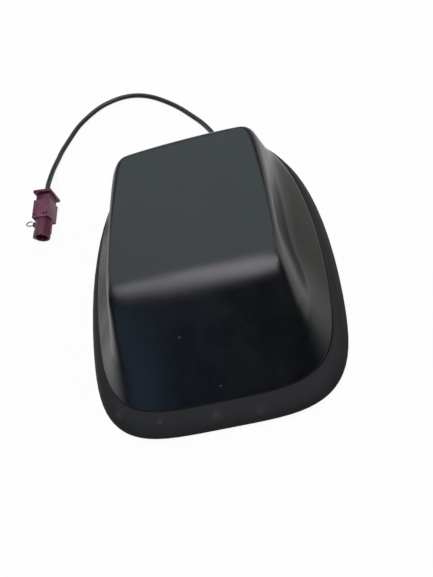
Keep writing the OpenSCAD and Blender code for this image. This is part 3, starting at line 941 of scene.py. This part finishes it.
@dataclass(frozen=True)
class Lamp:
    """Rectangular soft lamp that looks at a point."""

    name: str
    place: Point
    size: tuple[float, float]
    watts: float
    colour: Colour = (1.0, 1.0, 1.0)
    aim: Point = (0.0, 0.0, 0.02)

    def build(self) -> None:
        """Add the lamp to the scene."""
        data = bpy.data.lights.new(self.name, "AREA")
        data.shape = "RECTANGLE"
        data.size, data.size_y = self.size
        data.energy = self.watts
        data.color = self.colour
        lamp = bpy.data.objects.new(self.name, data)
        bpy.context.scene.collection.objects.link(lamp)
        lamp.location = self.place
        lamp.rotation_mode = "QUATERNION"
        way = Vector(self.aim) - Vector(self.place)
        lamp.rotation_quaternion = way.to_track_quat("-Z", "Y")


@dataclass
class Studio:
    """Camera, lamps, floor and surroundings."""

    azimuth: float = 16.83
    elevation: float = 57.0
    roll: float = -26.96
    distance: float = 342.3 * MM
    target: Point = (5.82 * MM, -16.52 * MM, 18.01 * MM)
    lens: float = 46.79
    film: float = 36.0
    clip: tuple[float, float] = (0.01, 50.0)
    floor_size: float = 12.0
    floor_drop: float = 0.05 * MM
    floor_clouds: Clouds = Clouds(0.4, 2.0)
    floor_tones: tuple[Colour, Colour] = ((0.86, 0.86, 0.86), (0.88, 0.88, 0.88))
    floor_glow_seen: float = 0.92
    # Glow of the floor in the part's reflections: low in front of the part as painted shade, rising
    # towards the rear.
    floor_glow_in_painted_front_shade: float = 0.35
    floor_glow_rise_past_painted_shade: Step = Step(0.0, 0.16, 0.6)
    sky: Colour = (0.9, 0.95, 1.0)
    sky_strength: float = 0.015
    lamps: tuple[Lamp, ...] = (
        Lamp("overhead_softbox", (-0.1, -0.05, 1.3), (1.3, 0.4), 9.4, (1.0, 0.96, 1.02)),
        Lamp("overhead_spot", (0.36, -0.04, 1.2), (0.3, 0.34), 3.0),
        Lamp("rear_panel", (-0.12, 1.35, 1.34), (1.45, 1.6), 10.0, (0.8, 0.92, 1.0)),
        Lamp("right_panel", (1.3, 0.8, 0.75), (1.4, 1.6), 8.8, (0.98, 1.0, 0.88)),
        Lamp("left_panel", (-1.44, 0.9, 0.5), (0.9, 0.8), 5.4, (1.0, 1.0, 0.95)),
        Lamp("front_left_panel", (-1.0, -1.2, 0.95), (0.9, 1.1), 2.4, (0.36, 0.6, 1.0)),
    )

    def camera(self) -> None:
        """Add the camera at the photograph's viewing angle."""
        az, el, roll = (math.radians(a) for a in (self.azimuth, self.elevation, self.roll))
        back = Vector((math.sin(az) * math.cos(el), -math.cos(az) * math.cos(el), math.sin(el)))
        right = (-back).cross(Vector((0, 0, 1))).normalized()
        up = right.cross(-back)
        across = right * math.cos(roll) + up * math.sin(roll)
        upright = -right * math.sin(roll) + up * math.cos(roll)
        data = bpy.data.cameras.new("view_camera")
        data.lens = self.lens
        data.sensor_width = self.film
        data.clip_start, data.clip_end = self.clip
        camera = bpy.data.objects.new("view_camera", data)
        bpy.context.scene.collection.objects.link(camera)
        turn = Matrix((across, upright, back)).transposed().to_4x4()
        stand = Vector(self.target) + back * self.distance
        camera.matrix_world = Matrix.Translation(stand) @ turn
        bpy.context.scene.camera = camera

    def floor(self) -> None:
        """Add the pale floor, which glows for the camera and in the part's reflections, where its
        glow is dimmed in front of the part as painted shade.
        """
        select_none()
        below = (0, 0, -self.floor_drop)
        bpy.ops.mesh.primitive_plane_add(size=self.floor_size, location=below)
        floor = bpy.context.active_object
        floor.name = "studio_floor"
        tree = Tree("floor_pale")
        place = tree.place()
        colour = tree.mix(tree.noise(place, self.floor_clouds), *self.floor_tones)
        matt = tree.node("ShaderNodeBsdfDiffuse", {}, {"Color": colour})
        glow = tree.node("ShaderNodeEmission", {}, {"Color": WHITE, "Strength": 1.0})
        seen = tree.node("ShaderNodeLightPath", {}, {}, "Is Camera Ray")
        mirrored = tree.node("ShaderNodeLightPath", {}, {}, "Is Glossy Ray")
        # Painted shade: the floor's glow in reflections is weaker in front of the part and rises
        # towards the rear.
        reflected_glow_with_painted_shade = tree.part(place, "Y").stepped(self.floor_glow_rise_past_painted_shade) + self.floor_glow_in_painted_front_shade
        share = seen * self.floor_glow_seen + mirrored * reflected_glow_with_painted_shade
        tree.node_out(tree.node("ShaderNodeMixShader", {}, {0: share, 1: matt, 2: glow}))
        floor.data.materials.append(tree.material)

    def world(self) -> None:
        """Set the surroundings: dim for light, white for the camera."""
        world = bpy.data.worlds.new("studio_world")
        bpy.context.scene.world = world
        world.use_nodes = True
        nodes, links = world.node_tree.nodes, world.node_tree.links
        nodes.clear()
        paths = nodes.new("ShaderNodeLightPath")
        dim = nodes.new("ShaderNodeBackground")
        dim.inputs["Color"].default_value = (*self.sky, 1.0)
        dim.inputs["Strength"].default_value = self.sky_strength
        white = nodes.new("ShaderNodeBackground")
        white.inputs["Color"].default_value = WHITE
        mixed = nodes.new("ShaderNodeMixShader")
        out = nodes.new("ShaderNodeOutputWorld")
        links.new(paths.outputs["Is Camera Ray"], mixed.inputs[0])
        links.new(dim.outputs[0], mixed.inputs[1])
        links.new(white.outputs[0], mixed.inputs[2])
        links.new(mixed.outputs[0], out.inputs["Surface"])

    def build(self) -> None:
        """Build the studio around the part."""
        bpy.context.scene.view_settings.view_transform = "Standard"
        self.floor()
        self.world()
        for lamp in self.lamps:
            lamp.build()


def main() -> None:
    """Build the scene in order."""
    logging.basicConfig(level=logging.INFO, format="%(name)s: %(message)s")
    paints = Paints()
    studio = Studio()
    studio.camera()
    lead = Lead(paints)
    cord = lead.build()
    lead.declare(Plug(paints).build())
    Cover(paints).build()
    Inside(paints).build()
    studio.build()


if __name__ == "__main__":
    main()
